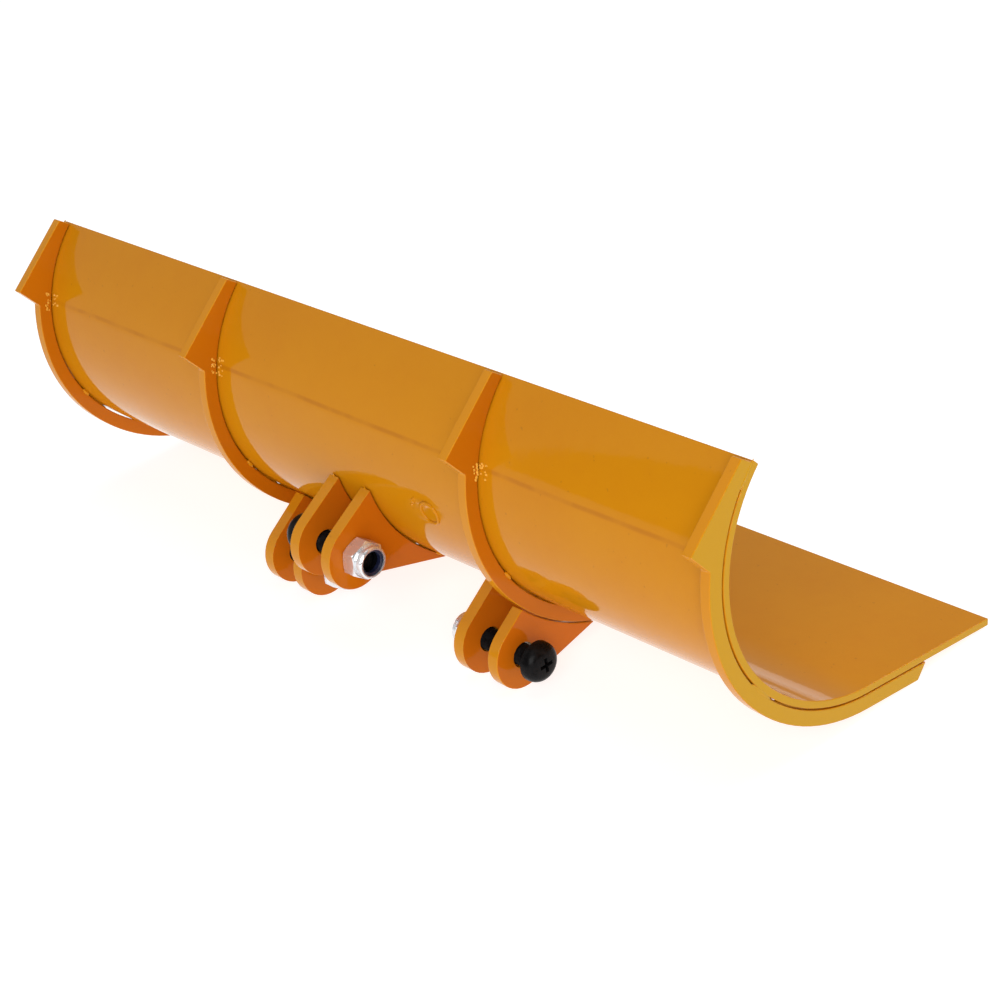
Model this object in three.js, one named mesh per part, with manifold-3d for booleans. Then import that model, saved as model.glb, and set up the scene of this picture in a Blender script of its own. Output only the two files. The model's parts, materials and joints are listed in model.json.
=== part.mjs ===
// Small open-ended loader bucket: one rolled shell plate, four backing ribs, three
// clevises of two lugs each, and a black cross-recess screw with a zinc lock nut
// through every clevis.
//
// Units are millimetres. +X runs along the bucket, +Y towards the cutting edge, +Z up.
// The bucket is drawn with its floor level, as a profile in the Y-Z plane, and is then
// leaned nose-down until it stands on its two lower clevises and on the toes of its ribs.
import * as THREE from 'three';
import { mergeVertices } from 'three/addons/utils/BufferGeometryUtils.js';
import Module from 'manifold-3d';

const wasm = await Module();
wasm.setup();

// ---- driving dimensions -------------------------------------------------------------

// shell: a flat floor, a wide heel bend, then a tighter rolled back
const length = 225;
const sheet = 1.6;
const floorRun = 38.3;
const heelRadius = 43;
const heelAngle = 46;
const backRadius = 35.3;
const topAngle = 130.9;

// ribs: plates that back the shell, tack welded with an open seam left between the tacks
const ribThickness = 2.5;
const seam = 0.35;
const bandDepth = 3.3;
const toeRun = 18;
const toeUndercut = 2.4;
const innerRibSpacing = 88;
const innerRibShift = 1.1;
const ribTopAngle = 130.2;
const gussetTopAngle = 129.3;
const gussetTopReach = 3.4;
const gussetCornerAngle = 102.7;
const gussetCornerReach = 9.3;
const gussetStepAngle = 97.5;

// clevises: pairs of lugs with a rounded tip and one hole. Angles are in degrees: where the
// hole stands round the roll, and the slopes of a lug's two straight edges. The setback is
// how far inside the round tip the lower edge runs.
const lugThickness = 3;
const clevisGap = 7.6;
const lugTipRadius = 7.6;
const ribLugInset = 0.15;
const armLug = { angle: 34.6, reach: 12.4, upperEdge: 42, lowerEdge: 19, setback: 0.8 };
const linkLug = { angle: 57.9, reach: 10.6, upperEdge: 38.4, lowerEdge: -9.6, setback: 2.7 };
const leftArmCentre = -26.5;
const tiltLinkCentre = 2.1;

// end float of each screw and nut along their clevis, and the least gap left at a face
const endFloat = 3.4;
const faceGap = 0.1;

// screws: M5 x 20 pan head with a cross recess
const threadDiameter = 5;
const threadUndersize = 0.1;
const threadEngagement = 2.8;
const holeClearance = 0.6;
const endChamfer = 0.6;
const headDiameter = 9;
const headHeight = 3.5;
const headRim = 0.7;
const recessWidth = 1.3;
const recessSpan = 4.8;
const recessDepth = 2;
const pinHole = threadDiameter + holeClearance;
const clampLength = clevisGap + 2 * lugThickness + endFloat + 2 * faceGap;
const screwLength = clampLength + threadEngagement;

// lock nuts: M5, a hexagon with a round collar rolled in over a nylon ring
const nutAcrossFlats = 8;
const nutHeight = 5.4;
const hexHeight = 3.5;
const threadClearance = 0.15;
const ringGrip = 0.15;
const ringWall = 0.8;
const ringHeight = 1.3;
const ringClearance = 0.12;
const collarWall = 0.33;
const lipThickness = 0.35;
const lipOverlap = 0.2;
const ringBore = threadDiameter - 2 * ringGrip;
const ringDiameter = ringBore + 2 * ringWall;
const collarDiameter = ringDiameter + 2 * (ringClearance + collarWall);
const collarLip = ringDiameter - 2 * lipOverlap;

// facets
const arcStep = 3;
const roundSides = 40;
const domeSteps = 8;
const cutOverrun = 1;

// the right arm's outer lug stands under the right inner rib, just behind its outer face
const ribOuterFace = innerRibShift + (innerRibSpacing + ribThickness) / 2;
const rightArmCentre = ribOuterFace - ribLugInset - lugThickness - clevisGap / 2;

const clevises = {
  left_arm: { ...armLug, centre: leftArmCentre, lugs: ['outer', 'inner'], headSide: -1, headOut: false },
  tilt_link: { ...linkLug, centre: tiltLinkCentre, lugs: ['left', 'right'], headSide: -1, headOut: true },
  right_arm: { ...armLug, centre: rightArmCentre, lugs: ['inner', 'outer'], headSide: 1, headOut: true },
};

// ---- materials ----------------------------------------------------------------------

const paint = (colour) => new THREE.MeshStandardMaterial({ color: colour, roughness: 0.25, metalness: 0 });
const shellPaint = paint(0xd2871c);
const ribPaint = paint(0xc9760f);
const lugPaint = paint(0xc4700f);
const blackSteel = new THREE.MeshStandardMaterial({ color: 0x1a181a, roughness: 0.35, metalness: 0.6 });
const zinc = new THREE.MeshStandardMaterial({ color: 0xc9ccd0, roughness: 0.3, metalness: 1 });
const nylon = new THREE.MeshStandardMaterial({ color: 0x15171f, roughness: 0.5, metalness: 0 });

// ---- the rolled profile ---------------------------------------------------------------
// A place on the shell's outside is an angle round the roll: 0 where the floor ends and
// 90 where the back stands upright. Offsets are measured outwards, square to the plate.

const { degToRad, radToDeg } = THREE.MathUtils;
const outward = (angle) => new THREE.Vector2(-Math.sin(degToRad(angle)), -Math.cos(degToRad(angle)));
const heelCentre = new THREE.Vector2(0, heelRadius);
const backCentre = heelCentre.clone().addScaledVector(outward(heelAngle), heelRadius - backRadius);
const onHeel = (angle) => angle <= heelAngle;
const rollCentre = (angle) => (onHeel(angle) ? heelCentre : backCentre);
const rollRadius = (angle) => (onHeel(angle) ? heelRadius : backRadius);

function rollPoint(angle, offset) {
  return rollCentre(angle).clone().addScaledVector(outward(angle), rollRadius(angle) + offset);
}

// adds the points of the offset roll between two angles, both ends included
function followRoll(points, offset, from, to) {
  const stops = [from, to];
  if ((from - heelAngle) * (to - heelAngle) < 0) stops.splice(1, 0, heelAngle);
  points.push(rollPoint(from, offset));
  for (let leg = 1; leg < stops.length; leg += 1) {
    const [start, end] = [stops[leg - 1], stops[leg]];
    const count = Math.max(1, Math.round(Math.abs(end - start) / arcStep));
    for (let i = 1; i <= count; i += 1) {
      points.push(rollPoint(start + ((end - start) * i) / count, offset));
    }
  }
}

// where a straight edge first meets the offset roll, as an angle round it
function meetRoll(point, direction, offset) {
  for (const centre of [heelCentre, backCentre]) {
    const radius = (centre === heelCentre ? heelRadius : backRadius) + offset;
    const toCentre = centre.clone().sub(point);
    const along = toCentre.dot(direction);
    const halfChord = Math.sqrt(radius ** 2 - toCentre.lengthSq() + along ** 2);
    const hit = point.clone().addScaledVector(direction, along - halfChord).sub(centre);
    const angle = radToDeg(Math.atan2(-hit.x, -hit.y));
    if (onHeel(angle) === (centre === heelCentre)) return angle;
  }
  throw new Error('a lug edge misses the shell');
}

// ---- solids ---------------------------------------------------------------------------

const outlineShape = (points) => new THREE.Shape(points);
const profileToWorld = new THREE.Matrix4().makeBasis(
  new THREE.Vector3(0, 1, 0), new THREE.Vector3(0, 0, 1), new THREE.Vector3(1, 0, 0),
);

// a flat plate: an outline in the Y-Z plane, thickened along +X from 0
function plateGeometry(shape, thickness) {
  const geometry = new THREE.ExtrudeGeometry(shape, {
    depth: thickness, bevelEnabled: false, curveSegments: roundSides,
  });
  return geometry.applyMatrix4(profileToWorld);
}

// a turned piece: [radius, x] pairs from axis to axis, spun about the X axis
function turnedGeometry(profile) {
  const points = profile.map(([radius, x]) => new THREE.Vector2(radius, x));
  return new THREE.LatheGeometry(points, roundSides).rotateZ(-Math.PI / 2);
}

function toManifold(geometry) {
  const bare = geometry.clone();
  bare.deleteAttribute('normal');
  bare.deleteAttribute('uv');
  const merged = mergeVertices(bare, 1e-4);
  const vertProperties = Float32Array.from(merged.attributes.position.array);
  const triVerts = Uint32Array.from(merged.index.array);
  return new wasm.Manifold(new wasm.Mesh({ numProp: 3, vertProperties, triVerts }));
}

function fromManifold(solid) {
  const { numProp, vertProperties, triVerts } = solid.getMesh();
  const geometry = new THREE.BufferGeometry();
  geometry.setAttribute('position', new THREE.BufferAttribute(vertProperties, numProp));
  geometry.setIndex(new THREE.BufferAttribute(triVerts, 1));
  const flat = geometry.toNonIndexed();
  flat.computeVertexNormals();
  return flat;
}

const bucket = new THREE.Group();

function addMesh(name, geometry, material, x = 0) {
  const mesh = new THREE.Mesh(geometry, material);
  mesh.name = name;
  mesh.position.x = x;
  bucket.add(mesh);
  return mesh;
}

// ---- shell ----------------------------------------------------------------------------

function addShell() {
  const points = [new THREE.Vector2(floorRun, 0)];
  followRoll(points, 0, 0, topAngle);
  followRoll(points, -sheet, topAngle, 0);
  points.push(new THREE.Vector2(floorRun, sheet));
  addMesh('bucket_shell', plateGeometry(outlineShape(points), length), shellPaint, -length / 2);
}

// ---- ribs -----------------------------------------------------------------------------

const bandReach = seam + bandDepth;

function ribShape() {
  const points = [new THREE.Vector2(toeRun - toeUndercut, -bandReach)];
  followRoll(points, bandReach, 0, gussetStepAngle);
  points.push(rollPoint(gussetCornerAngle, gussetCornerReach));
  points.push(rollPoint(gussetTopAngle, gussetTopReach));
  followRoll(points, seam, ribTopAngle, 0);
  points.push(new THREE.Vector2(toeRun, -seam));
  return outlineShape(points);
}

function addRibs() {
  const endCentre = (length - ribThickness) / 2;
  const centres = {
    rib_left_end: -endCentre,
    rib_left: innerRibShift - innerRibSpacing / 2,
    rib_right: innerRibShift + innerRibSpacing / 2,
    rib_right_end: endCentre,
  };
  for (const [name, centre] of Object.entries(centres)) {
    addMesh(name, plateGeometry(ribShape(), ribThickness), ribPaint, centre - ribThickness / 2);
  }
}

// ---- lugs -----------------------------------------------------------------------------

const pinPlace = ({ angle, reach }) => rollPoint(angle, reach);

// The tip is an arc about the hole. The upper edge is tangent to it. The lower edge runs
// inside it by the setback, so it leaves the arc where the two cross.
function lugShape(clevis, baseOffset) {
  const pin = pinPlace(clevis);
  const up = degToRad(clevis.upperEdge);
  const low = degToRad(clevis.lowerEdge);
  const upDirection = new THREE.Vector2(Math.cos(up), Math.sin(up));
  const lowDirection = new THREE.Vector2(Math.cos(low), Math.sin(low));
  const upStart = up + Math.PI / 2;
  const lowStart = low - Math.PI / 2 + Math.acos(1 - clevis.setback / lugTipRadius);
  const onTip = (turn) => pin.clone().add(
    new THREE.Vector2(Math.cos(turn), Math.sin(turn)).multiplyScalar(lugTipRadius),
  );
  const points = [];
  followRoll(
    points, baseOffset,
    meetRoll(onTip(lowStart), lowDirection, baseOffset),
    meetRoll(onTip(upStart), upDirection, baseOffset),
  );
  const sweep = lowStart + 2 * Math.PI - upStart;
  const count = Math.round((roundSides * sweep) / (2 * Math.PI));
  for (let i = 0; i <= count; i += 1) points.push(onTip(upStart + (sweep * i) / count));
  const shape = outlineShape(points);
  const hole = new THREE.Path().absarc(pin.x, pin.y, pinHole / 2, 0, 2 * Math.PI);
  shape.holes.push(new THREE.Path(hole.getPoints(roundSides / 2).slice(1)));
  return shape;
}

function addLugs(name, clevis) {
  const inner = clevisGap / 2;
  const starts = [clevis.centre - inner - lugThickness, clevis.centre + inner];
  starts.forEach((x, i) => {
    const underRib = x < ribOuterFace && x + lugThickness > ribOuterFace - ribThickness;
    const base = underRib ? bandReach + seam : seam;
    const lug = plateGeometry(lugShape(clevis, base), lugThickness);
    addMesh(`${name}_lug_${clevis.lugs[i]}`, lug, lugPaint, x);
  });
}

// ---- screws, nuts and rings --------------------------------------------------------------
// Each is drawn along +X from its own bearing face and is turned round for a head at -X.

function headProfile() {
  const radius = headDiameter / 2;
  const crown = headHeight - headRim;
  const dome = [];
  for (let i = 1; i < domeSteps; i += 1) {
    const turn = (Math.PI / 2) * (i / domeSteps);
    dome.push([radius * Math.cos(turn), headRim + crown * Math.sin(turn)]);
  }
  dome.push([0, headHeight]);
  return [[radius, 0], [radius, headRim], ...dome];
}

function screwGeometry() {
  const radius = (threadDiameter - threadUndersize) / 2;
  const profile = [
    [0, -screwLength], [radius - endChamfer, -screwLength], [radius, endChamfer - screwLength],
    [radius, 0], ...headProfile(),
  ];
  const arm = (span, width) =>
    new THREE.BoxGeometry(recessDepth * 2, span, width).translate(headHeight, 0, 0);
  const recess = toManifold(arm(recessSpan, recessWidth)).add(toManifold(arm(recessWidth, recessSpan)));
  return fromManifold(toManifold(turnedGeometry(profile)).subtract(recess));
}

function nutGeometry() {
  const apothem = nutAcrossFlats / 2;
  const corner = apothem / Math.cos(Math.PI / 6);
  const chamfer = (corner - apothem) * Math.tan(Math.PI / 6);
  const hexagon = new THREE.CylinderGeometry(corner, corner, hexHeight, 6);
  hexagon.rotateZ(-Math.PI / 2).translate(hexHeight / 2, 0, 0);
  const chamferCone = turnedGeometry([
    [0, 0], [apothem, 0], [corner, chamfer], [corner, hexHeight - chamfer], [apothem, hexHeight],
    [0, hexHeight],
  ]);
  const collar = turnedGeometry([
    [0, hexHeight / 2], [collarDiameter / 2, hexHeight / 2],
    [collarDiameter / 2, nutHeight - lipThickness],
    [collarDiameter / 2 - lipThickness, nutHeight], [0, nutHeight],
  ]);
  const bore = threadDiameter / 2 + threadClearance;
  const seat = ringDiameter / 2 + ringClearance;
  const seatTop = nutHeight - lipThickness;
  const seatFloor = seatTop - ringHeight - 2 * ringClearance;
  const hollow = turnedGeometry([
    [0, -cutOverrun], [bore, -cutOverrun], [bore, seatFloor], [seat, seatFloor], [seat, seatTop],
    [collarLip / 2, seatTop], [collarLip / 2, nutHeight + cutOverrun], [0, nutHeight + cutOverrun],
  ]);
  const body = toManifold(hexagon).intersect(toManifold(chamferCone)).add(toManifold(collar));
  return fromManifold(body.subtract(toManifold(hollow)));
}

function ringGeometry() {
  const top = nutHeight - lipThickness - ringClearance;
  const [outer, inner] = [ringDiameter / 2, ringBore / 2];
  const profile = [[outer, top - ringHeight], [outer, top], [inner, top], [inner, top - ringHeight]];
  return turnedGeometry([...profile, profile[0]]);
}

function addPin(name, clevis) {
  const pin = pinPlace(clevis);
  const halfWidth = clevisGap / 2 + lugThickness;
  const headGap = faceGap + (clevis.headOut ? endFloat : 0);
  const nutGap = faceGap + (clevis.headOut ? 0 : endFloat);
  const turn = clevis.headSide > 0 ? 0 : Math.PI;
  const place = (mesh, distance, facing) => {
    mesh.position.set(clevis.centre + distance * clevis.headSide, pin.x, pin.y);
    mesh.rotation.z = turn + facing;
  };
  place(addMesh(`${name}_screw`, screwGeometry(), blackSteel), halfWidth + headGap, 0);
  place(addMesh(`${name}_nut`, nutGeometry(), zinc), -halfWidth - nutGap, Math.PI);
  place(addMesh(`${name}_nut_ring`, ringGeometry(), nylon), -halfWidth - nutGap, Math.PI);
}

// ---- the whole bucket, stood as it rests on a level surface ---------------------------------

addShell();
addRibs();
for (const [name, clevis] of Object.entries(clevises)) {
  addLugs(name, clevis);
  addPin(name, clevis);
}

// the lean puts the lower clevis tips and the rib toes, or the cutting edge, on one level
function restLean() {
  const pin = pinPlace(clevises.right_arm);
  const touches = [new THREE.Vector2(toeRun - toeUndercut, -bandReach), new THREE.Vector2(floorRun, 0)];
  return Math.min(...touches.map((touch) => {
    const toPin = touch.clone().sub(pin);
    return Math.asin(lugTipRadius / toPin.length()) + Math.atan2(toPin.y, toPin.x);
  }));
}

const leaning = new THREE.Group();
leaning.rotation.x = -restLean();
leaning.add(bucket);

// origin: below the middle of the bucket's box, on the surface that it stands on
const standing = new THREE.Group();
standing.add(leaning);
const box = new THREE.Box3().setFromObject(standing, true);
const middle = box.getCenter(new THREE.Vector3());
leaning.position.set(-middle.x, -middle.y, -box.min.z);

export default standing;
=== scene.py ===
"""A small open-ended loader bucket: painted shell, ribs and lugs, with screws and lock nuts."""
import json
from math import atan2, cos, pi, radians, sin
from random import Random

import bmesh
import bpy
from bpy.props import FloatProperty, FloatVectorProperty, PointerProperty
from mathutils import Matrix, Vector


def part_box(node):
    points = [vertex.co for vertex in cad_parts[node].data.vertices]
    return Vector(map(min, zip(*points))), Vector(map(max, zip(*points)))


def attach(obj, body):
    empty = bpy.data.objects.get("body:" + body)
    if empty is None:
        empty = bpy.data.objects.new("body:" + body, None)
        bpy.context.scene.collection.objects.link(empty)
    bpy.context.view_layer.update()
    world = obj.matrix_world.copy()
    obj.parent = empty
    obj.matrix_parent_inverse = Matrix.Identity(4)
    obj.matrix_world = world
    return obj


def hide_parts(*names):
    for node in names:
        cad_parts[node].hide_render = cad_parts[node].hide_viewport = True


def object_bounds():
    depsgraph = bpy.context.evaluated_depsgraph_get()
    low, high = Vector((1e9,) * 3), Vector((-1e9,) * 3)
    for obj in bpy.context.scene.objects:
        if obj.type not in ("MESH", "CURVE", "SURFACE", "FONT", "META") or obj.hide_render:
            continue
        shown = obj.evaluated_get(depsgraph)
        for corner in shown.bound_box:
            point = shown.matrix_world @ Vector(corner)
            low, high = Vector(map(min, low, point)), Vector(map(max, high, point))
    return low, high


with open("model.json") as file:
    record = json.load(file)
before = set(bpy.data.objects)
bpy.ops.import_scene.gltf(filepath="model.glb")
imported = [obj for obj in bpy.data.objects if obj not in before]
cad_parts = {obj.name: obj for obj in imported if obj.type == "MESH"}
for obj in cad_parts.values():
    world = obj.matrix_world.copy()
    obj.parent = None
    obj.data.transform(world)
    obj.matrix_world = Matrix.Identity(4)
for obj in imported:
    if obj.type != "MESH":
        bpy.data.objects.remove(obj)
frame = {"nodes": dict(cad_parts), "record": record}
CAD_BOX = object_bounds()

bl_info = {
    "name": "Loader Bucket",
    "version": (1, 0, 0),
    "blender": (4, 5, 0),
    "location": "View3D > Sidebar > Bucket",
    "description": "Builds the painted surfaces, welds and fasteners of a small loader bucket",
    "category": "Object",
}

MM = 0.001
ROOT = "bucket"
RIBS = ("rib_left_end", "rib_left", "rib_right", "rib_right_end")
LUGS = (
    "left_arm_lug_outer", "left_arm_lug_inner", "tilt_link_lug_left", "tilt_link_lug_right",
    "right_arm_lug_inner", "right_arm_lug_outer",
)
PINS = ("left_arm", "tilt_link", "right_arm")

# screws: the domed head, the cross recess in it, and the shank
HEAD_HEIGHT = 3.5 * MM
HEAD_RIM = 0.7 * MM
HEAD_FOOT = 0.25 * MM
DOME_FULLNESS = 0.55
DOME_STEPS = (8, 18, 28, 38, 48, 58, 68, 78, 85)
SHANK_RADIUS = 2.45 * MM
RECESS_SPAN = 4.7 * MM
RECESS_WIDTH = 1.15 * MM
RECESS_DEPTH = 1.9 * MM
RECESS_TAPER = 0.45
TURNED_SIDES = 48
THREAD_STEPS = 28

# rounding of the nuts and their rings
NUT_EDGE = 0.12 * MM
RING_EDGE = 0.2 * MM

# welds: where they sit round the roll, in degrees, and how large they are
END_BAND = 1 * MM
GRIT_ANGLE = 98.5
GRIT_GRAINS = 24
CORNER_TACKS = ((55, 0.6), (3, 0.5))
TOP_FILL = (126.2, 1.5)
RIGHT_HEEL_FILL = (46, 1.8)
LEFT_HEEL_FILL = (54, 1.8)
SEAM_RUNS = ((72, 4),)
LEFT_END_SEAM_RUNS = ((62, 43), (29, 4))
SEAM_RUN_LENGTH = 7 * MM
LUG_TACK_SIZE = 0.5

# the plug weld's ring and the drops beside it, as (x in mm, degrees round the roll, size)
PLUG_X = 28.2 * MM
PLUG_ANGLE = 73
DROPS = ((23.4, 75.5, 1.2), (22.6, 73.4, 0.8), (24.0, 77.0, 0.7))

# the stage: area lights as (name, place, target, size, watts), and glossy-only reflectors as
# (name, place, target, size, glow)
LAMPS = (
    ("key", (0.75, -0.85, 0.62), (0, 0, 0.03), 0.8, 11.0),
    ("front", (0.35, 0.95, 0.95), (0, 0, 0.03), 0.8, 7.5),
    ("overhead", (0.2, 0.1, 1.3), (0, 0, 0.03), 0.9, 5.0),
)
CARDS = (
    ("dim_card", (-0.7, -0.29, 0.5), (-0.7, 0, 0.5), 1.0, 0.8),
    ("white_card", (-0.95, 0.75, 0.66), (0, 0, 0.01), 1.8, 0.42),
)
FLOOR_SIZE = 12
FLOOR_GLOW = 0.80
WORLD_GLOW = 0.12

# the camera: where it looks from, in degrees, what it looks at, and its lens
CAMERA_AZIMUTH = 52.34
CAMERA_ELEVATION = 29.45
CAMERA_ROLL = -10.53
CAMERA_TARGET = (12.3, 1.67, 20.57)
CAMERA_DISTANCE = 528.9 * MM
CAMERA_SENSOR = 36
CAMERA_LENS = 85.69


# ---- sizes and colours -------------------------------------------------------------------


def length_value(name, description, default):
    return FloatProperty(
        name=name, description=description, default=default * MM, unit="LENGTH", precision=5
    )


def angle_value(name, description, default):
    return FloatProperty(
        name=name, description=description, default=radians(default), subtype="ANGLE"
    )


def colour_value(name, description, default):
    return FloatVectorProperty(
        name=name, description=description, default=default, subtype="COLOR", size=3, min=0, max=1
    )


class BucketSizes(bpy.types.PropertyGroup):
    """Sizes of the rolled profile, the edges, the welds and the threads."""

    heel_radius: length_value("Heel radius", "Outside radius of the heel bend", 43)
    heel_angle: angle_value("Heel angle", "Where the heel bend meets the tighter back", 46)
    back_radius: length_value("Back radius", "Outside radius of the rolled back", 35.3)
    arm_angle: angle_value("Arm hole angle", "Where the arm holes stand round the roll", 34.6)
    arm_reach: length_value("Arm hole reach", "From the shell to the arm holes", 12.4)
    link_angle: angle_value("Link hole angle", "Where the link hole stands round the roll", 57.9)
    link_reach: length_value("Link hole reach", "From the shell to the link hole", 10.6)
    line_angle: angle_value("Painted shade line angle", "Where the painted shade line runs round the roll", 98.6)
    plate_edge: length_value("Plate edge", "Rounding of the ribs' and lugs' edges", 0.22)
    sheet_edge: length_value("Sheet edge", "Rounding of the shell's edges", 0.2)
    seam: length_value("Seam", "Open seam between the shell and the ribs", 0.35)
    tack_length: length_value("Tack length", "Length of a weld tack along its seam", 4.2)
    tack_height: length_value("Tack height", "Height of a weld tack", 0.75)
    plug_radius: length_value("Plug weld radius", "Radius of the ring on the shell's back", 2.6)
    plug_bead: length_value("Plug weld bead", "Half thickness of that ring", 0.42)
    thread_pitch: length_value("Thread pitch", "Pitch of the screws' threads", 0.8)
    thread_depth: length_value("Thread depth", "Depth of the screws' threads", 0.42)


class BucketColours(bpy.types.PropertyGroup):
    """Colours of the finishes."""

    shell: colour_value("Shell paint", "Paint on the rolled shell", (0.61, 0.234, 0.004))
    shell_deep: colour_value("Shell paint, thick", "Where the paint lies thick", (0.56, 0.185, 0.004))
    # the rib, lug and edge colours are one orange paint, darker on side faces as painted shade and
    # lighter on edges as painted light
    plate: colour_value("Rib faces, painted shade", "Paint on the ribs' faces, darkened as painted shade", (0.53, 0.143, 0.003))
    lug: colour_value("Lug faces, painted shade", "Paint on the lugs' faces, darkened as painted shade", (0.55, 0.135, 0.004))
    edge: colour_value("Plate edges, painted light", "Paint on narrow plate edges, lightened as painted light", (0.65, 0.25, 0.009))
    # the end colour is the orange paint lightened as a painted reflection on the end faces
    end: colour_value("End face reflection", "Paint on the bucket's end faces, lightened as a painted reflection", (0.56, 0.285, 0.008))
    steel: colour_value("Black steel", "Black oxide on the screws", (0.004, 0.0038, 0.004))
    # the weld colour is thin paint over the spatter, made lighter as a painted sparkle
    weld: colour_value("Weld paint", "Paint over the weld spatter, lightened as painted sparkle", (0.82, 0.40, 0.05))
    # the line colour is a darker shade painted in a line along the back
    line: colour_value("Painted shade line", "The darker line painted as shade along the back", (0.40, 0.11, 0.004))
    zinc: colour_value("Zinc", "Zinc plate on the nuts", (0.88, 0.89, 0.91))
    nylon: colour_value("Nylon", "Dark nylon rings", (0.006, 0.008, 0.026))
    floor: colour_value("Floor", "The pale floor below the bucket", (0.40, 0.40, 0.40))


def sizes():
    return bpy.context.scene.bucket_sizes


def colours():
    return bpy.context.scene.bucket_colours


# ---- where things are ----------------------------------------------------------------------
# The profile is laid out level, as (forwards, up), and then leaned until its two pin holes
# meet the frame's hinge axes. An angle runs round the roll: 0 below the heel, 90 at the back.


def outward(angle):
    return Vector((-sin(angle), -cos(angle)))


def roll_point(angle, offset):
    s = sizes()
    heel = Vector((0, s.heel_radius))
    if angle <= s.heel_angle:
        return heel + outward(angle) * (s.heel_radius + offset)
    back = heel + outward(s.heel_angle) * (s.heel_radius - s.back_radius)
    return back + outward(angle) * (s.back_radius + offset)


def hinge_place(pin):
    for joint in frame["record"]["behaviour"]["joints"]:
        if joint["name"] == f"{pin}_screw_turn":
            return Vector(joint["pos_m"])
    raise RuntimeError(f"the frame has no hinge for {pin}")


def lean_and_shift():
    s = sizes()
    arm = roll_point(s.arm_angle, s.arm_reach)
    link = roll_point(s.link_angle, s.link_reach)
    arm_there = hinge_place("right_arm").yz
    link_there = hinge_place("tilt_link").yz
    level = link - arm
    leaned = link_there - arm_there
    lean = atan2(leaned.y, leaned.x) - atan2(level.y, level.x)
    return lean, arm_there - Matrix.Rotation(lean, 2) @ arm


def on_bucket(x, angle, offset):
    """The point at x along the bucket, at an angle round the roll and an offset outwards."""
    lean, shift = lean_and_shift()
    flat = Matrix.Rotation(lean, 2) @ roll_point(angle, offset) + shift
    return Vector((x, flat.x, flat.y))


def outward_axis(angle):
    lean, _ = lean_and_shift()
    flat = Matrix.Rotation(lean, 2) @ outward(angle)
    return Vector((0, flat.x, flat.y))


def seam_span(node):
    """The highest and lowest angles round the roll where a CAD plate comes down to the shell."""
    s = sizes()
    lean, shift = lean_and_shift()
    unlean = Matrix.Rotation(-lean, 2)
    arcs = ((0, s.heel_angle, s.heel_radius), (s.heel_angle, pi, s.back_radius))
    angles = []
    for vertex in frame["nodes"][node].data.vertices:
        flat = unlean @ (vertex.co.yz - shift)
        for first, last, radius in arcs:
            spoke = flat - roll_point((first + last) / 2, -radius)
            angle = atan2(-spoke.x, -spoke.y)
            if first <= angle <= last and abs(spoke.length - radius) < 2 * s.seam:
                angles.append(angle)
    return max(angles) - radians(1.5), min(angles) + radians(1.5)


# ---- modelling helpers -----------------------------------------------------------------------


def deselect_all():
    if bpy.context.object and bpy.context.object.mode != "OBJECT":
        bpy.ops.object.mode_set(mode="OBJECT")
    bpy.ops.object.select_all(action="DESELECT")


def pick(piece):
    deselect_all()
    piece.hide_set(False)
    piece.select_set(True)
    bpy.context.view_layer.objects.active = piece


def edit(select="NONE", kind="VERT"):
    """Enters edit mode with everything selected, or with nothing."""
    bpy.ops.object.mode_set(mode="EDIT")
    bpy.ops.mesh.select_mode(type=kind)
    bpy.ops.mesh.select_all(action="SELECT" if select == "ALL" else "DESELECT")


def done_editing():
    bpy.ops.object.mode_set(mode="OBJECT")


def apply_place(piece):
    pick(piece)
    bpy.ops.object.transform_apply(location=True, rotation=True, scale=True)


def smooth(piece, angle=30):
    pick(piece)
    bpy.ops.object.shade_smooth_by_angle(angle=radians(angle))
    bpy.ops.object.modifier_add(type="WEIGHTED_NORMAL")
    piece.modifiers[-1].keep_sharp = True
    bpy.ops.object.modifier_apply(modifier=piece.modifiers[-1].name)


def copy_of_node(node, name):
    """A merged, clean copy of a CAD node that can be shaped further."""
    pick(frame["nodes"][node])
    bpy.ops.object.duplicate()
    piece = bpy.context.object
    piece.name = piece.data.name = name
    piece.parent = None
    piece.data.materials.clear()
    edit("ALL")
    bpy.ops.mesh.remove_doubles(threshold=2e-6)
    bpy.ops.mesh.dissolve_limited(angle_limit=radians(0.4))
    done_editing()
    bpy.ops.mesh.customdata_custom_splitnormals_clear()
    return piece


def round_edges(piece, width, segments=3, sharper_than=35):
    pick(piece)
    edit(kind="EDGE")
    bpy.ops.mesh.edges_select_sharp(sharpness=radians(sharper_than))
    bpy.ops.mesh.bevel(offset=width, segments=segments, profile=0.5, clamp_overlap=True)
    done_editing()


def finish_piece(piece, body, material, slot, *nodes):
    piece.data.materials.clear()
    piece.data.materials.append(material)
    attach(piece, body)
    if nodes:
        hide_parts(*nodes)


# ---- shader groups ----------------------------------------------------------------------------


def group_tree(name, inputs, outputs):
    tree = bpy.data.node_groups.new(name, "ShaderNodeTree")
    for label, kind, value in inputs:
        socket = tree.interface.new_socket(name=label, in_out="INPUT", socket_type=kind)
        if value is not None:
            socket.default_value = value
    for label, kind in outputs:
        tree.interface.new_socket(name=label, in_out="OUTPUT", socket_type=kind)
    return tree, tree.nodes.new("NodeGroupInput"), tree.nodes.new("NodeGroupOutput")


def add_node(tree, kind, **values):
    node = tree.nodes.new(kind)
    for key, value in values.items():
        setattr(node, key, value)
    return node


def noise(tree, vector, scale, detail=2.0, roughness=0.5):
    node = add_node(tree, "ShaderNodeTexNoise")
    node.inputs["Scale"].default_value = scale
    node.inputs["Detail"].default_value = detail
    node.inputs["Roughness"].default_value = roughness
    tree.links.new(vector, node.inputs["Vector"])
    return node.outputs["Fac"]


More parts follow.
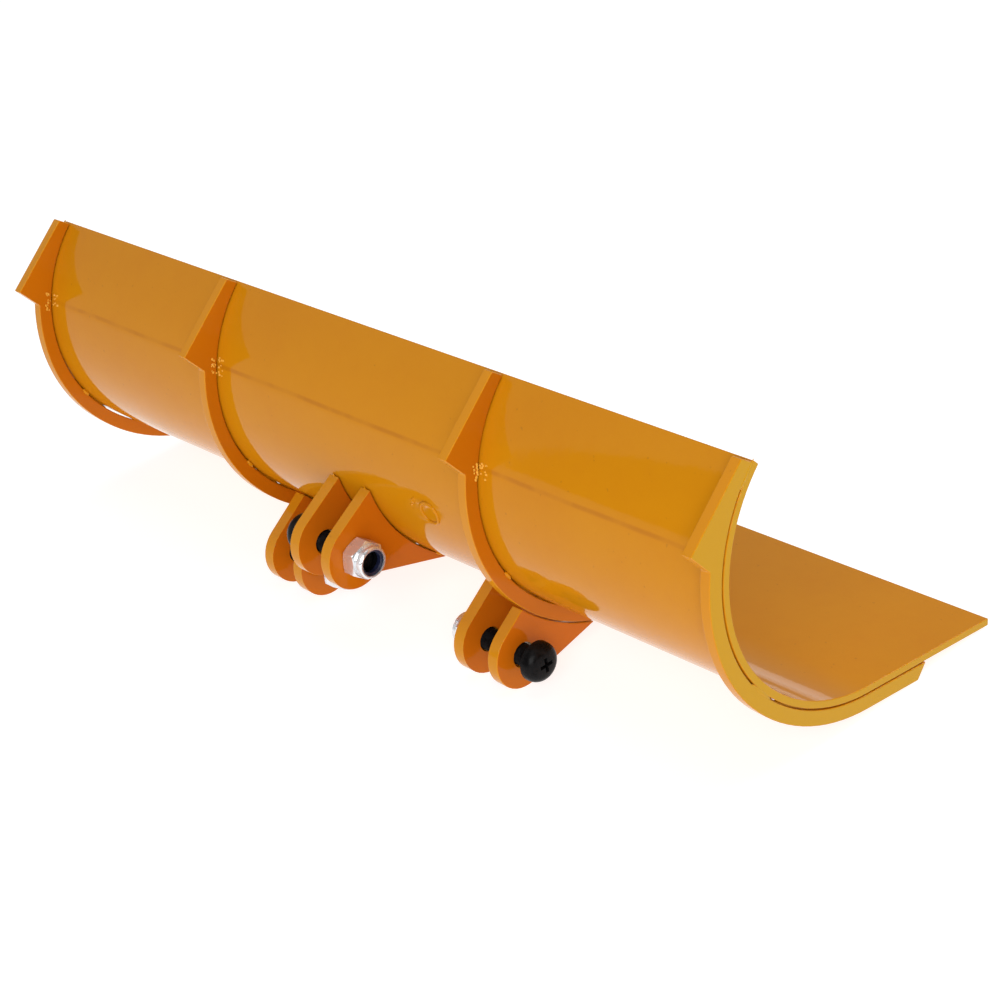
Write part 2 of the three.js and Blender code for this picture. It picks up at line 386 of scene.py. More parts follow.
def spread(tree, value, low, high, to_low=0.0, to_high=1.0):
    node = add_node(tree, "ShaderNodeMapRange")
    node.interpolation_type = "SMOOTHSTEP"
    node.inputs["From Min"].default_value = low
    node.inputs["From Max"].default_value = high
    node.inputs["To Min"].default_value = to_low
    node.inputs["To Max"].default_value = to_high
    tree.links.new(value, node.inputs["Value"])
    return node.outputs["Result"]


def maths(tree, operation, first, second=None):
    node = add_node(tree, "ShaderNodeMath", operation=operation)
    for socket, value in zip(node.inputs, (first, second)):
        if value is None:
            continue
        if isinstance(value, (int, float)):
            socket.default_value = value
        else:
            tree.links.new(value, socket)
    return node.outputs[0]


def blend_colour(tree, mask, first, second):
    node = add_node(tree, "ShaderNodeMix", data_type="RGBA", blend_type="MIX")
    sockets = [s for s in node.inputs if s.enabled]
    for socket, value in zip(sockets, (mask, first, second)):
        if isinstance(value, bpy.types.NodeSocket):
            tree.links.new(value, socket)
        else:
            socket.default_value = value
    return next(s for s in node.outputs if s.enabled)


def rgba(colour):
    return (*colour, 1.0)


def orange_peel_group():
    """The fine ripple and rare grit of sprayed gloss paint, as a height."""
    tree, given, out = group_tree(
        "Orange peel",
        [("Vector", "NodeSocketVector", None), ("Ripple", "NodeSocketFloat", 1.0),
         ("Grit", "NodeSocketFloat", 1.0)],
        [("Height", "NodeSocketFloat")],
    )
    vector = given.outputs["Vector"]
    ripple = maths(tree, "MULTIPLY", noise(tree, vector, 620, 1.5), given.outputs["Ripple"])
    slow = maths(tree, "MULTIPLY", noise(tree, vector, 90, 1.0), given.outputs["Ripple"])
    both = maths(tree, "ADD", ripple, maths(tree, "MULTIPLY", slow, 3.0))
    grit = spread(tree, noise(tree, vector, 1500, 0.0), 0.80, 0.86)
    grit = maths(tree, "MULTIPLY", grit, given.outputs["Grit"])
    tree.links.new(maths(tree, "ADD", both, grit), out.inputs["Height"])
    return tree


def paint_shade_group():
    """Slow changes of shade where the paint lies thinner or thicker."""
    tree, given, out = group_tree(
        "Paint shade",
        [("Vector", "NodeSocketVector", None), ("Thin", "NodeSocketColor", (1, 1, 1, 1)),
         ("Thick", "NodeSocketColor", (0, 0, 0, 1)), ("Amount", "NodeSocketFloat", 0.5)],
        [("Color", "NodeSocketColor"), ("Roughness", "NodeSocketFloat")],
    )
    vector = given.outputs["Vector"]
    broad = spread(tree, noise(tree, vector, 28, 3.0, 0.6), 0.35, 0.7)
    fine = spread(tree, noise(tree, vector, 260, 4.0, 0.7), 0.4, 0.75)
    mask = maths(tree, "ADD", maths(tree, "MULTIPLY", broad, 0.7), maths(tree, "MULTIPLY", fine, 0.3))
    mask = maths(tree, "MULTIPLY", mask, given.outputs["Amount"])
    colour = blend_colour(tree, mask, given.outputs["Thin"], given.outputs["Thick"])
    specks = spread(tree, noise(tree, vector, 900, 1.0), 0.74, 0.8, 0.0, 0.35)
    colour = blend_colour(tree, specks, colour, (0.35, 0.12, 0.01, 1))
    tree.links.new(colour, out.inputs["Color"])
    tree.links.new(spread(tree, fine, 0.0, 1.0, 0.05, 0.10), out.inputs["Roughness"])
    return tree


def shared_group(name, build):
    return bpy.data.node_groups.get(name) or build()


def start_material(name):
    material = bpy.data.materials.get(name)
    if material:
        return material, None, None, None
    material = bpy.data.materials.new(name)
    material.use_nodes = True
    tree = material.node_tree
    shader = tree.nodes["Principled BSDF"]
    place = tree.nodes.new("ShaderNodeTexCoord")
    return material, tree, shader, place


def use_group(tree, group, **values):
    node = tree.nodes.new("ShaderNodeGroup")
    node.node_tree = group
    for key, value in values.items():
        socket = node.inputs[key]
        if isinstance(value, bpy.types.NodeSocket):
            tree.links.new(value, socket)
        else:
            socket.default_value = value
    return node


def bump(tree, height, distance):
    node = add_node(tree, "ShaderNodeBump")
    node.inputs["Strength"].default_value = 1.0
    node.inputs["Distance"].default_value = distance
    tree.links.new(height, node.inputs["Height"])
    return node.outputs["Normal"]


def facing_along_x(tree, place):
    """A mask that is 1 on faces square to the bucket's length."""
    parts = tree.nodes.new("ShaderNodeSeparateXYZ")
    tree.links.new(place.outputs["Normal"], parts.inputs[0])
    return spread(tree, maths(tree, "ABSOLUTE", parts.outputs["X"]), 0.75, 0.95)


def near_the_ends(tree, place):
    """A mask that is 1 at the two ends of the bucket."""
    parts = tree.nodes.new("ShaderNodeSeparateXYZ")
    tree.links.new(place.outputs["Object"], parts.inputs[0])
    reach = CAD_BOX[1].x
    return spread(tree, maths(tree, "ABSOLUTE", parts.outputs["X"]), reach - 1.2 * MM, reach - 0.6 * MM)


def painted_shade_line(tree, place):
    """A mask for the broken darker line painted as shade along the outside of the rolled back."""
    s = sizes()
    centre = on_bucket(0, pi / 2, -s.back_radius)
    line = on_bucket(0, s.line_angle, 0) - centre
    parts = tree.nodes.new("ShaderNodeSeparateXYZ")
    tree.links.new(place.outputs["Object"], parts.inputs[0])
    forwards = maths(tree, "SUBTRACT", parts.outputs["Y"], centre.y)
    up = maths(tree, "SUBTRACT", parts.outputs["Z"], centre.z)
    along_line = maths(tree, "MULTIPLY", forwards, line.y / line.length)
    along_line = maths(tree, "ADD", along_line, maths(tree, "MULTIPLY", up, line.z / line.length))
    across = maths(tree, "MULTIPLY", forwards, -line.z / line.length)
    across = maths(tree, "ADD", across, maths(tree, "MULTIPLY", up, line.y / line.length))
    wander = maths(tree, "MULTIPLY", noise(tree, place.outputs["Object"], 35, 2.0), 0.5 * MM)
    across = maths(tree, "ABSOLUTE", maths(tree, "ADD", across, wander))
    near = spread(tree, across, 0.15 * MM, 0.75 * MM, 0.45, 0.0)
    outside = spread(tree, along_line, line.length - 0.6 * MM, line.length - 0.3 * MM)
    broken = spread(tree, noise(tree, place.outputs["Object"], 120, 3.0), 0.35, 0.6, 0.35, 1.0)
    return maths(tree, "MULTIPLY", maths(tree, "MULTIPLY", near, outside), broken)


def gloss_paint(name, colour, thick, side=None, end=None, line=None, ripple=1.0):
    """Sprayed gloss paint, with painted shade on plate faces and in a darker line along the back, and a
    painted reflection on end faces.
    """
    material, tree, shader, place = start_material(name)
    if tree is None:
        return material
    where = place.outputs["Object"]
    shade = use_group(
        tree, shared_group("Paint shade", paint_shade_group),
        Vector=where, Thin=rgba(colour), Thick=rgba(thick), Amount=0.45,
    )
    result = shade.outputs["Color"]
    if line is not None:
        # a darker broken line painted along the back as shade
        result = blend_colour(tree, painted_shade_line(tree, place), result, rgba(line))
    # faces square to the bucket's length get the darker side colour: painted shade by face direction
    if side is not None:
        result = blend_colour(tree, facing_along_x(tree, place), result, rgba(side))
    # the bucket's end faces get a lighter, yellower colour as a painted reflection
    if end is not None:
        mask = maths(tree, "MULTIPLY", near_the_ends(tree, place), facing_along_x(tree, place))
        result = blend_colour(tree, mask, result, rgba(end))
    tree.links.new(result, shader.inputs["Base Color"])
    tree.links.new(shade.outputs["Roughness"], shader.inputs["Roughness"])
    peel = use_group(tree, shared_group("Orange peel", orange_peel_group), Vector=where, Ripple=ripple)
    tree.links.new(bump(tree, peel.outputs["Height"], 0.012 * MM), shader.inputs["Normal"])
    shader.inputs["Specular IOR Level"].default_value = 0.13
    return material


def shell_paint():
    c = colours()
    # the shell paint carries a painted shade line along the back and a painted reflection on the end
    # faces
    return gloss_paint("shell_gloss_paint_light_and_shade", c.shell, c.shell_deep, end=c.end, line=c.line)


def plate_paint_light_and_shade():
    c = colours()
    # lighter edges and darker side faces here are painted light and shade
    return gloss_paint("plate_gloss_paint_light_and_shade", c.edge, c.shell, side=c.plate, end=c.end)


def lug_paint():
    c = colours()
    # lighter edges and darker side faces here are painted light and shade
    return gloss_paint("lug_gloss_paint_light_and_shade", c.edge, c.shell, side=c.lug)


def weld_paint_and_sparkle():
    c = colours()
    # the lighter weld colour is thin paint plus a painted sparkle on the grit
    return gloss_paint("weld_gloss_paint_and_sparkle", c.weld, c.shell, ripple=3.0)


def black_steel():
    material, tree, shader, place = start_material("black_oxide_steel")
    if tree is None:
        return material
    where = place.outputs["Object"]
    shade = spread(tree, noise(tree, where, 700, 4.0, 0.7), 0.35, 0.75)
    dark = Vector(colours().steel)
    colour = blend_colour(tree, shade, rgba(dark), rgba(dark * 2.4))
    tree.links.new(colour, shader.inputs["Base Color"])
    tree.links.new(spread(tree, shade, 0, 1, 0.26, 0.46), shader.inputs["Roughness"])
    tree.links.new(bump(tree, noise(tree, where, 1600, 3.0), 0.01 * MM), shader.inputs["Normal"])
    shader.inputs["Specular IOR Level"].default_value = 0.08
    return material


def bore_shade_mask(tree, place):
    """A mask that is 1 close to the pins' axes, where the nuts' threaded bores get a painted shade."""
    parts = tree.nodes.new("ShaderNodeSeparateXYZ")
    tree.links.new(place.outputs["Object"], parts.inputs[0])
    distances = []
    for pin in ("right_arm", "tilt_link"):
        axis = hinge_place(pin)
        forwards = maths(tree, "SUBTRACT", parts.outputs["Y"], axis.y)
        up = maths(tree, "SUBTRACT", parts.outputs["Z"], axis.z)
        squares = [maths(tree, "MULTIPLY", side, side) for side in (forwards, up)]
        distances.append(maths(tree, "SQRT", maths(tree, "ADD", *squares)))
    return spread(tree, maths(tree, "MINIMUM", *distances), 2.7 * MM, 2.9 * MM, 1.0, 0.0)


def zinc_plate():
    material, tree, shader, place = start_material("zinc_plate")
    if tree is None:
        return material
    where = place.outputs["Object"]
    shade = spread(tree, noise(tree, where, 420, 4.0, 0.65), 0.3, 0.75)
    bright = Vector(colours().zinc)
    colour = blend_colour(tree, shade, rgba(bright), rgba(bright * 0.82))
    # the zinc inside the nuts' bores is painted near black as shade
    colour = blend_colour(tree, bore_shade_mask(tree, place), colour, (0.02, 0.02, 0.025, 1))
    tree.links.new(colour, shader.inputs["Base Color"])
    tree.links.new(spread(tree, shade, 0, 1, 0.16, 0.3), shader.inputs["Roughness"])
    stretch = tree.nodes.new("ShaderNodeMapping")
    stretch.inputs["Scale"].default_value = (0.12, 1, 1)
    tree.links.new(where, stretch.inputs["Vector"])
    marks = noise(tree, stretch.outputs["Vector"], 2600, 3.0)
    tree.links.new(bump(tree, marks, 0.003 * MM), shader.inputs["Normal"])
    shader.inputs["Metallic"].default_value = 0.75
    return material


def dark_nylon():
    material, tree, shader, place = start_material("dark_nylon")
    if tree is None:
        return material
    where = place.outputs["Object"]
    shade = spread(tree, noise(tree, where, 800, 2.0), 0.3, 0.7)
    base = Vector(colours().nylon)
    tree.links.new(blend_colour(tree, shade, rgba(base), rgba(base * 1.8)), shader.inputs["Base Color"])
    tree.links.new(spread(tree, shade, 0, 1, 0.32, 0.5), shader.inputs["Roughness"])
    tree.links.new(bump(tree, noise(tree, where, 2400, 2.0), 0.006 * MM), shader.inputs["Normal"])
    return material


# ---- operators -----------------------------------------------------------------------------------


class BUCKET_OT_shell(bpy.types.Operator):
    """Rounds the edges of the rolled shell and paints it."""

    bl_idname = "bucket.shell"
    bl_label = "Shell"

    def execute(self, context):
        shell = copy_of_node("bucket_shell", "painted_shell")
        round_edges(shell, sizes().sheet_edge)
        smooth(shell)
        finish_piece(shell, ROOT, shell_paint(), "shell_paint", "bucket_shell")
        return {"FINISHED"}


class BUCKET_OT_ribs(bpy.types.Operator):
    """Rounds the edges of the four ribs and paints them."""

    bl_idname = "bucket.ribs"
    bl_label = "Ribs"

    def execute(self, context):
        for node in RIBS:
            rib = copy_of_node(node, f"painted_{node}")
            round_edges(rib, sizes().plate_edge)
            smooth(rib)
            finish_piece(rib, ROOT, plate_paint_light_and_shade(), "rib_paint", node)
        return {"FINISHED"}


class BUCKET_OT_lugs(bpy.types.Operator):
    """Rounds the edges of the six lugs and paints them."""

    bl_idname = "bucket.lugs"
    bl_label = "Lugs"

    def execute(self, context):
        for node in LUGS:
            lug = copy_of_node(node, f"painted_{node}")
            round_edges(lug, sizes().plate_edge)
            smooth(lug)
            finish_piece(lug, ROOT, lug_paint(), "lug_paint", node)
        return {"FINISHED"}


def turned(name, profile):
    """A closed turned solid along Z from (radius, height) pairs; both of its ends are capped."""
    deselect_all()
    radius, height = profile[0]
    bpy.ops.mesh.primitive_circle_add(
        vertices=TURNED_SIDES, radius=radius, fill_type="NGON", location=(0, 0, height)
    )
    piece = bpy.context.object
    piece.name = piece.data.name = name
    apply_place(piece)
    edit("ALL", "FACE")
    for (r0, z0), (r1, z1) in zip(profile, profile[1:]):
        bpy.ops.mesh.extrude_region_move(TRANSFORM_OT_translate={"value": (0, 0, z1 - z0)})
        bpy.ops.transform.resize(value=(r1 / r0, r1 / r0, 1))
    bpy.ops.mesh.select_all(action="SELECT")
    bpy.ops.mesh.normals_make_consistent(inside=False)
    done_editing()
    return piece


def threaded_rod(name, radius, start, end):
    """A helical thread along Z between two heights, cut square and closed at both."""
    s = sizes()
    pitch, root = s.thread_pitch, radius - s.thread_depth
    deselect_all()
    bpy.ops.mesh.primitive_plane_add(size=0.1 * MM)
    rod = bpy.context.object
    rod.name = rod.data.name = name
    edit("ALL")
    bpy.ops.mesh.merge(type="CENTER")
    first = start - 2 * pitch
    bpy.ops.transform.translate(value=(root, 0, first))
    flat = pitch / 8
    slope = (pitch - 2 * flat) / 2
    for across, rise in ((s.thread_depth, slope), (0, flat), (-s.thread_depth, slope), (0, flat)):
        bpy.ops.mesh.extrude_region_move(TRANSFORM_OT_translate={"value": (across, 0, rise)})
    done_editing()
    bpy.ops.object.modifier_add(type="SCREW")
    screw = rod.modifiers[-1]
    screw.screw_offset = pitch
    screw.iterations = int((end - start) / pitch) + 4
    screw.steps = screw.render_steps = THREAD_STEPS
    screw.use_merge_vertices = True
    screw.merge_threshold = 1e-6
    bpy.ops.object.modifier_apply(modifier=screw.name)
    edit("ALL")
    bpy.ops.mesh.remove_doubles(threshold=2e-6)
    for height, keep_above in ((start, True), (end, False)):
        bpy.ops.mesh.select_all(action="SELECT")
        bpy.ops.mesh.bisect(
            plane_co=(0, 0, height), plane_no=(0, 0, 1), use_fill=True,
            clear_inner=keep_above, clear_outer=not keep_above,
        )
    bpy.ops.mesh.select_all(action="SELECT")
    bpy.ops.mesh.normals_make_consistent(inside=False)
    done_editing()
    return rod


def cut_recess(head):
    """Cuts a cross recess with tapered arms into a head whose top is at the origin."""
    for turn in (0, pi / 2):
        deselect_all()
        bpy.ops.mesh.primitive_cube_add(size=1, location=(0, 0, 0), rotation=(0, 0, turn))
        arm = bpy.context.object
        arm.scale = (RECESS_SPAN, RECESS_WIDTH, 2 * RECESS_DEPTH)
        apply_place(arm)
        edit(kind="FACE")
        mesh = bmesh.from_edit_mesh(arm.data)
        for face in mesh.faces:
            face.select = face.normal.z < -0.9
        bmesh.update_edit_mesh(arm.data)
        bpy.ops.transform.resize(value=(RECESS_TAPER, RECESS_TAPER, 1))
        done_editing()
        pick(head)
        bpy.ops.object.modifier_add(type="BOOLEAN")
        cut = head.modifiers[-1]
        cut.operation = "DIFFERENCE"
        cut.solver = "EXACT"
        cut.object = arm
        bpy.ops.object.modifier_apply(modifier=cut.name)
        bpy.data.objects.remove(arm)


class BUCKET_OT_screws(bpy.types.Operator):
    """Models the three threaded screws with domed heads and a cross recess."""

    bl_idname = "bucket.screws"
    bl_label = "Screws"

    def execute(self, context):
        for pin in PINS:
            node = f"{pin}_screw"
            low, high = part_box(node)
            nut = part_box(f"{pin}_nut")
            length = high.x - low.x
            head_radius = (high.z - low.z) / 2
            head_right = (nut[0].x + nut[1].x) / 2 < (low.x + high.x) / 2
            axis = hinge_place(pin)
            screw = self.one_screw(f"{pin}_threaded_screw", length, head_radius)
            screw.rotation_euler = (0, pi / 2 if head_right else -pi / 2, 0)
            screw.location = (high.x if head_right else low.x, axis.y, axis.z)
            apply_place(screw)
            finish_piece(screw, f"{pin}_screw", black_steel(), "black_steel", node)
        return {"FINISHED"}

    def one_screw(self, name, length, radius):
        """Drawn with the top of its head at the origin and its shank along -Z."""
        height, rim, shank = HEAD_HEIGHT, HEAD_RIM, SHANK_RADIUS
        dome = []
        for step in DOME_STEPS:
            across = radius * cos(radians(step)) ** DOME_FULLNESS
            dome.append((across, -height + rim + (height - rim) * sin(radians(step))))
        head = turned(name, [
            (shank * 0.9, -height - 0.3 * MM), (shank * 0.9, -height),
            (radius - HEAD_FOOT, -height + 0.01 * MM), (radius, -height + HEAD_FOOT),
            (radius, -height + rim), *dome,
        ])
        cut_recess(head)
        rod = threaded_rod(name + "_rod", shank, -length + 0.5 * MM, -height + 0.05 * MM)
        tip = turned(name + "_tip", [
            (shank - 0.75 * MM, -length), (shank - 0.35 * MM, -length + 0.35 * MM),
            (shank - 0.35 * MM, -length + 0.7 * MM),
        ])
        deselect_all()
        for part in (rod, tip, head):
            part.select_set(True)
        bpy.context.view_layer.objects.active = head
        bpy.ops.object.join()
        smooth(head, 35)
        return head


class BUCKET_OT_nuts(bpy.types.Operator):
    """Finishes the three zinc lock nuts and their nylon rings."""

    bl_idname = "bucket.nuts"
    bl_label = "Lock nuts"

    def execute(self, context):
        for pin in PINS:
            nut = copy_of_node(f"{pin}_nut", f"{pin}_zinc_nut")
            round_edges(nut, NUT_EDGE, 2, 20)
            smooth(nut, 28)
            finish_piece(nut, f"{pin}_nut", zinc_plate(), "zinc", f"{pin}_nut")
            ring = copy_of_node(f"{pin}_nut_ring", f"{pin}_nylon_ring")
            round_edges(ring, RING_EDGE, 3)
            smooth(ring, 40)
            finish_piece(ring, f"{pin}_nut", dark_nylon(), "nylon", f"{pin}_nut_ring")
        return {"FINISHED"}


def tack(name, centre, along, out, length, height, width, seed):
    """One irregular weld tack: a flattened ball, roughened and rounded."""
    deselect_all()
    bpy.ops.mesh.primitive_ico_sphere_add(subdivisions=3, radius=1)
    blob = bpy.context.object
    blob.name = blob.data.name = name
    edit("ALL")
    bpy.ops.transform.vertex_random(offset=0.16, uniform=0.3, normal=0.7, seed=seed)
    bpy.ops.mesh.vertices_smooth(factor=0.4, repeat=1)
    done_editing()
    side = along.cross(out).normalized()
    turn = Matrix((along, side, out)).transposed().to_4x4()
    shape = Matrix.Diagonal((length / 2, width / 2, height, 1))
    blob.matrix_world = Matrix.Translation(centre) @ turn @ shape
    apply_place(blob)
    bpy.ops.object.modifier_add(type="SUBSURF")
    blob.modifiers[-1].levels = blob.modifiers[-1].render_levels = 1
    bpy.ops.object.modifier_apply(modifier=blob.modifiers[-1].name)
    smooth(blob, 180)
    return blob


def ball(centre, out, half_sizes):
    """A stretched ball whose local Z points outwards and whose local X lies along the bucket."""
    deselect_all()
    bpy.ops.mesh.primitive_ico_sphere_add(subdivisions=2, radius=1)
    piece = bpy.context.object
    across = Vector((1, 0, 0)) if abs(out.x) < 0.5 else Vector((0, 0, 1))
    side = out.cross(across).normalized()
    turn = Matrix((side.cross(out), side, out)).transposed().to_4x4()
    piece.matrix_world = Matrix.Translation(centre) @ turn @ Matrix.Diagonal((*half_sizes, 1))
    return piece


class BUCKET_OT_welds(bpy.types.Operator):
    """Adds the weld tacks that hold the ribs and lugs to the shell."""

    bl_idname = "bucket.welds"
    bl_label = "Weld tacks"

    def execute(self, context):
        seed = 0
        for node in RIBS:
            low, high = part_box(node)
            for x, face in ((low.x, -1), (high.x, 1)):
                seed += 1
                if abs(x) > CAD_BOX[1].x - END_BAND:
                    for angle, size in (TOP_FILL, RIGHT_HEEL_FILL if face > 0 else LEFT_HEEL_FILL):
                        name = f"{node}_fill_{int(angle)}"
                        self.end_fill(name, x, face, radians(angle), size, seed)
                else:
                    self.grit(f"{node}_grit_{seed}", x, face, radians(GRIT_ANGLE), seed)
                    for angle, size in CORNER_TACKS:
                        name = f"{node}_tack_{seed}_{angle}"
                        self.corner_tack(name, x, face, radians(angle), size, seed)
            middle = (low.x + high.x) / 2
            for start, end in LEFT_END_SEAM_RUNS if node == "rib_left_end" else SEAM_RUNS:
                self.seam_fill(f"{node}_seam_{start}", middle, radians(start), radians(end))
        for node in LUGS:
            low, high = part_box(node)
            if node == "right_arm_lug_outer":
                continue
            top, bottom = seam_span(node)
            self.seam_fill(f"{node}_seam", (low.x + high.x) / 2, top, bottom)
            for x, face in ((low.x, -1), (high.x, 1)):
                seed += 1
                name = f"{node}_tack_{seed}"
                self.corner_tack(name, x, face, bottom + radians(3), LUG_TACK_SIZE, seed)
        return {"FINISHED"}

    def corner_tack(self, name, x, face, angle, size, seed):
        """A low tack in the corner between a plate's face and the shell."""
        s = sizes()
        centre = on_bucket(x + face * 0.1 * MM * size, angle, s.seam)
        out = (outward_axis(angle) * 0.6 + Vector((face, 0, 0))).normalized()
        along = outward_axis(angle).cross(Vector((1, 0, 0))).normalized()
        length, height, width = s.tack_length * size, s.tack_height * size, s.tack_height * 2 * size
        blob = tack(name, centre, along, out, length, height, width, seed)
        finish_piece(blob, ROOT, shell_paint(), "rib_paint")

    def end_fill(self, name, x, face, angle, size, seed):
        """A dressed weld that fills the seam on the bucket's end, nearly flush."""
        s = sizes()
        centre = on_bucket(x - face * 0.12 * MM, angle, s.seam / 2)
        along = outward_axis(angle).cross(Vector((1, 0, 0))).normalized()
        blob = tack(
            name, centre, along, Vector((face, 0, 0)), s.tack_length * size, 0.2 * MM, 1.0 * MM, seed
        )
        finish_piece(blob, ROOT, shell_paint(), "rib_paint")

    def grit(self, name, x, face, angle, seed):
        """A patch of small spatter grains across the seam."""
        s = sizes()
        dice = Random(seed)
        reach = s.tack_length / 2 / s.back_radius
        grains = []
        for number in range(GRIT_GRAINS):
            place = angle + dice.uniform(-reach, reach)
            if number % 2:
                centre = on_bucket(x, place, s.seam + dice.uniform(0, 1.6) * MM)
                out = Vector((face, 0, 0))
            else:
                centre = on_bucket(x + face * dice.uniform(0.1, 2.2) * MM, place, 0)
                out = outward_axis(place)
            width = dice.uniform(0.15, 0.31) * MM
            grains.append(ball(centre, out, (width * 1.3, width, width * 0.9)))
        self.join_balls(grains, name)

    def seam_fill(self, name, x, start, end):
        """Weld metal down in the open seam, part of the way through a plate's thickness."""
        s = sizes()
        each = SEAM_RUN_LENGTH / s.back_radius
        count = max(1, round((start - end) / each))
        step = (start - end) / count
        runs = []
        for number in range(count):
            angle = start - step * (number + 0.5)
            along = step * (s.back_radius if angle > s.heel_angle else s.heel_radius)
            centre = on_bucket(x, angle, s.seam / 2)
            runs.append(ball(centre, outward_axis(angle), (0.45 * MM, along * 0.8, 0.4 * MM)))
        self.join_balls(runs, name)

    def join_balls(self, balls, name):
        """Joins the balls into one painted piece."""
        deselect_all()
        for piece in balls:
            piece.select_set(True)
        bpy.context.view_layer.objects.active = balls[0]
        bpy.ops.object.join()
        balls[0].name = balls[0].data.name = name
        apply_place(balls[0])
        smooth(balls[0], 180)
        # the grit gets the lighter paint with its painted sparkle
        paint = weld_paint_and_sparkle() if "grit" in name else shell_paint()
        finish_piece(balls[0], ROOT, paint, "rib_paint")


class BUCKET_OT_marks(bpy.types.Operator):
    """Adds the plug weld's ring and its spatter on the shell's back."""

    bl_idname = "bucket.marks"
    bl_label = "Plug weld"

    def execute(self, context):
        s = sizes()
        angle = radians(PLUG_ANGLE)
        out = outward_axis(angle)
        along = out.cross(Vector((1, 0, 0))).normalized()
        deselect_all()
        bpy.ops.mesh.primitive_torus_add(
            major_radius=s.plug_radius, minor_radius=s.plug_bead,
            major_segments=48, minor_segments=14,
        )
        ring = bpy.context.object
        ring.name = ring.data.name = "plug_weld_ring"
        turn = Matrix((Vector((1, 0, 0)), along, out)).transposed().to_4x4()
        ring.matrix_world = Matrix.Translation(on_bucket(PLUG_X, angle, 0)) @ turn
        apply_place(ring)
        edit("ALL")
        bpy.ops.transform.vertex_random(offset=0.09 * MM, seed=7)
        bpy.ops.mesh.vertices_smooth(factor=0.5, repeat=2)
        done_editing()
        smooth(ring, 180)
        finish_piece(ring, ROOT, shell_paint(), "shell_paint")
        for number, (x, degrees_round, size) in enumerate(DROPS):
            angle = radians(degrees_round)
            drop = tack(
                f"plug_weld_spatter_{number}", on_bucket(x * MM, angle, 0), along, outward_axis(angle),
                size * MM, 0.3 * size * MM, size * MM, 40 + number,
            )
            finish_piece(drop, ROOT, shell_paint(), "shell_paint")
        return {"FINISHED"}


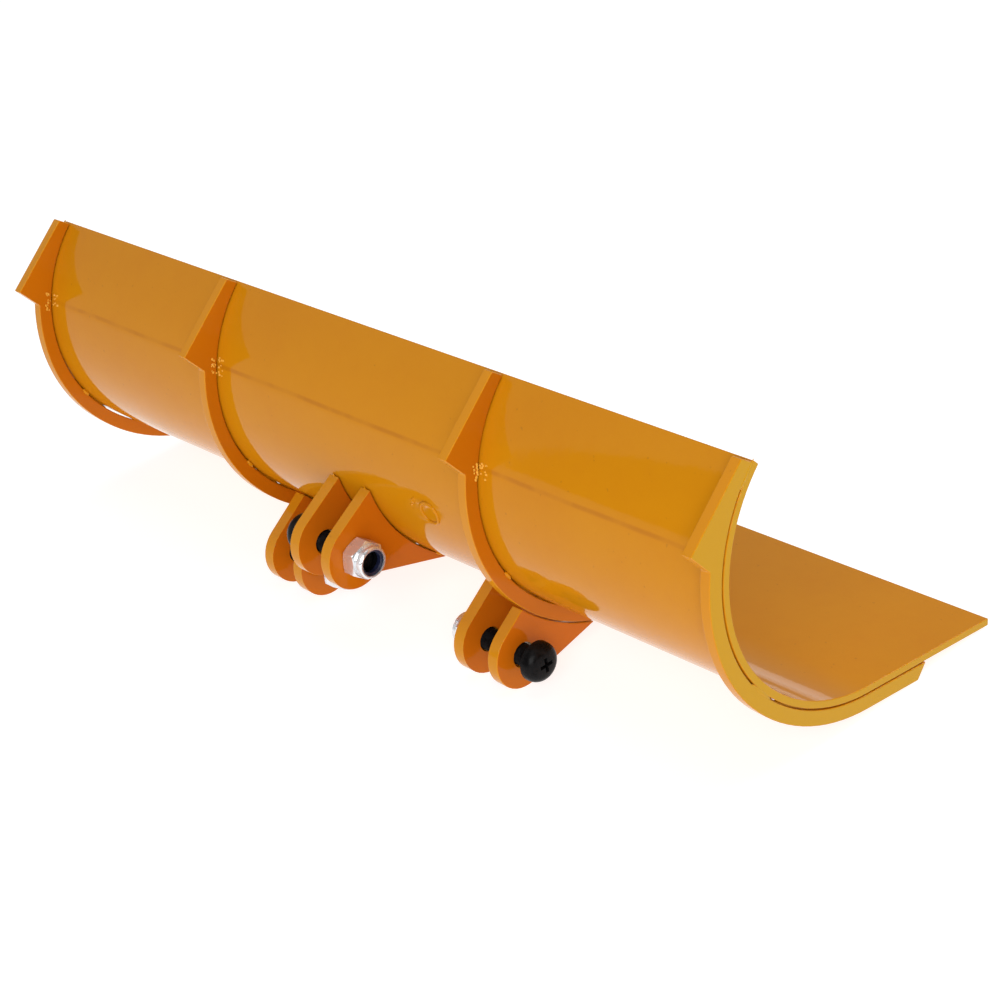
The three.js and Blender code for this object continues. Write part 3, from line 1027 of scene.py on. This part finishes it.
class BUCKET_OT_stage(bpy.types.Operator):
    """Adds the pale floor, the soft lights and the camera."""

    bl_idname = "bucket.stage"
    bl_label = "Stage"

    def execute(self, context):
        self.floor()
        self.world()
        for lamp in LAMPS:
            self.light(*lamp)
        for card in CARDS:
            self.card(*card)
        self.camera()
        bpy.context.scene.view_settings.view_transform = "Standard"
        return {"FINISHED"}

    def floor(self):
        deselect_all()
        bpy.ops.mesh.primitive_plane_add(size=FLOOR_SIZE)
        floor = bpy.context.object
        floor.name = "floor"
        material, _, shader, _ = start_material("pale_floor")
        shader.inputs["Base Color"].default_value = rgba(colours().floor)
        shader.inputs["Roughness"].default_value = 0.9
        shader.inputs["Emission Color"].default_value = (1, 1, 1, 1)
        shader.inputs["Emission Strength"].default_value = FLOOR_GLOW
        floor.data.materials.append(material)

    def world(self):
        world = bpy.data.worlds.new("soft_studio")
        bpy.context.scene.world = world
        world.use_nodes = True
        back = world.node_tree.nodes["Background"]
        back.inputs["Color"].default_value = (1, 1, 1, 1)
        back.inputs["Strength"].default_value = WORLD_GLOW

    def card(self, name, place, target, size, strength):
        """A large reflector that only the gloss of the paint and the metal sees."""
        deselect_all()
        bpy.ops.mesh.primitive_plane_add(size=size)
        card = bpy.context.object
        card.name = name
        turn = (Vector(target) - Vector(place)).to_track_quat("Z", "Y")
        card.matrix_world = Matrix.Translation(place) @ turn.to_matrix().to_4x4()
        apply_place(card)
        material, _, shader, _ = start_material(name)
        shader.inputs["Base Color"].default_value = (0, 0, 0, 1)
        shader.inputs["Roughness"].default_value = 1.0
        shader.inputs["Emission Color"].default_value = (1, 1, 1, 1)
        shader.inputs["Emission Strength"].default_value = strength
        card.data.materials.append(material)
        card.visible_camera = card.visible_diffuse = card.visible_shadow = False

    def light(self, name, place, target, size, power):
        deselect_all()
        bpy.ops.object.light_add(type="AREA", location=place)
        lamp = bpy.context.object
        lamp.name = name
        lamp.data.shape = "SQUARE"
        lamp.data.size = size
        lamp.data.energy = power
        lamp.rotation_euler = (Vector(target) - Vector(place)).to_track_quat("-Z", "Y").to_euler()

    def camera(self):
        azimuth, elevation = radians(CAMERA_AZIMUTH), radians(CAMERA_ELEVATION)
        roll = radians(CAMERA_ROLL)
        target = Vector(CAMERA_TARGET) * MM
        forward = Vector((
            -sin(azimuth) * cos(elevation), cos(azimuth) * cos(elevation), -sin(elevation)
        ))
        right = Vector((cos(azimuth), sin(azimuth), 0))
        up = right.cross(forward)
        right, up = right * cos(roll) + up * sin(roll), up * cos(roll) - right * sin(roll)
        deselect_all()
        bpy.ops.object.camera_add()
        camera = bpy.context.object
        camera.name = "camera"
        turn = Matrix((right, up, -forward)).transposed().to_4x4()
        camera.matrix_world = Matrix.Translation(target - forward * CAMERA_DISTANCE) @ turn
        camera.data.sensor_width = CAMERA_SENSOR
        camera.data.lens = CAMERA_LENS
        camera.data.clip_start = 0.01
        bpy.context.scene.camera = camera


class BUCKET_PT_panel(bpy.types.Panel):
    """Lists the sizes, the colours and the pieces of the bucket."""

    bl_label = "Loader Bucket"
    bl_idname = "BUCKET_PT_panel"
    bl_space_type = "VIEW_3D"
    bl_region_type = "UI"
    bl_category = "Bucket"

    def draw(self, context):
        for group in (context.scene.bucket_sizes, context.scene.bucket_colours):
            for name in group.__annotations__:
                self.layout.prop(group, name)
        for operator in OPERATORS:
            self.layout.operator(operator.bl_idname)


OPERATORS = (
    BUCKET_OT_shell, BUCKET_OT_ribs, BUCKET_OT_lugs, BUCKET_OT_screws, BUCKET_OT_nuts,
    BUCKET_OT_welds, BUCKET_OT_marks, BUCKET_OT_stage,
)
CLASSES = (BucketSizes, BucketColours, *OPERATORS, BUCKET_PT_panel)


def register():
    for cls in CLASSES:
        bpy.utils.register_class(cls)
    bpy.types.Scene.bucket_sizes = PointerProperty(type=BucketSizes)
    bpy.types.Scene.bucket_colours = PointerProperty(type=BucketColours)


def unregister():
    del bpy.types.Scene.bucket_colours
    del bpy.types.Scene.bucket_sizes
    for cls in reversed(CLASSES):
        bpy.utils.unregister_class(cls)


def main():
    register()
    bpy.ops.bucket.shell()
    bpy.ops.bucket.ribs()
    bpy.ops.bucket.lugs()
    bpy.ops.bucket.screws()
    bpy.ops.bucket.nuts()
    bpy.ops.bucket.welds()
    bpy.ops.bucket.marks()
    bpy.ops.bucket.stage()


if __name__ == "__main__":
    main()
